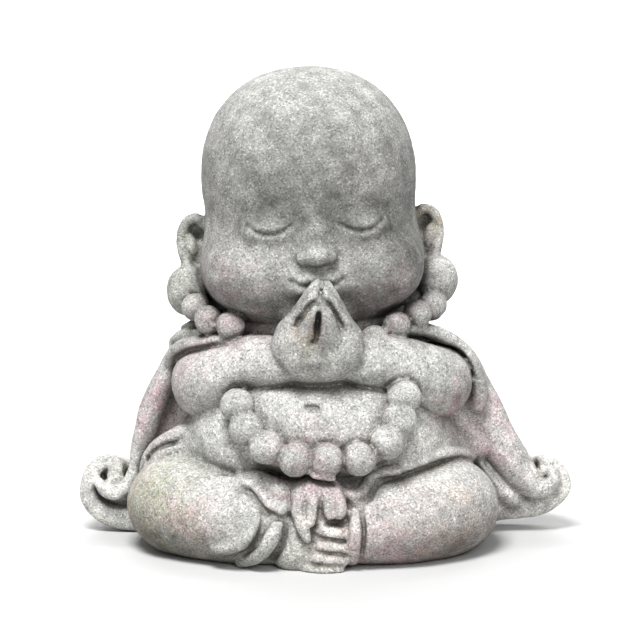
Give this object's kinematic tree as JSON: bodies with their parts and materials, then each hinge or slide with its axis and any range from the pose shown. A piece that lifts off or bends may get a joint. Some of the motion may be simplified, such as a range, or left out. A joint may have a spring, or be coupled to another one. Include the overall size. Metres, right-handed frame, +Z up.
{
  "type": "seated buddha statue",
  "caption": "Cast-stone garden statue of a seated infant monk praying, with a long cape that curls at both corners, bead strings, a tassel and crossed legs on a flat underside.",
  "frame": {"origin": "in the flat underside, on the floor, below the middle of the seated body", "axes": "+Z up, the figure faces -Y, +X is to the right as seen from the front"},
  "size_m": [0.3184, 0.1752, 0.2999],
  "materials": {
    "stone": "matt grey speckled cast stone, slightly weathered"
  },
  "bodies": {
    "root": {"buddha_statue": "stone"}
  },
  "joints": []
}
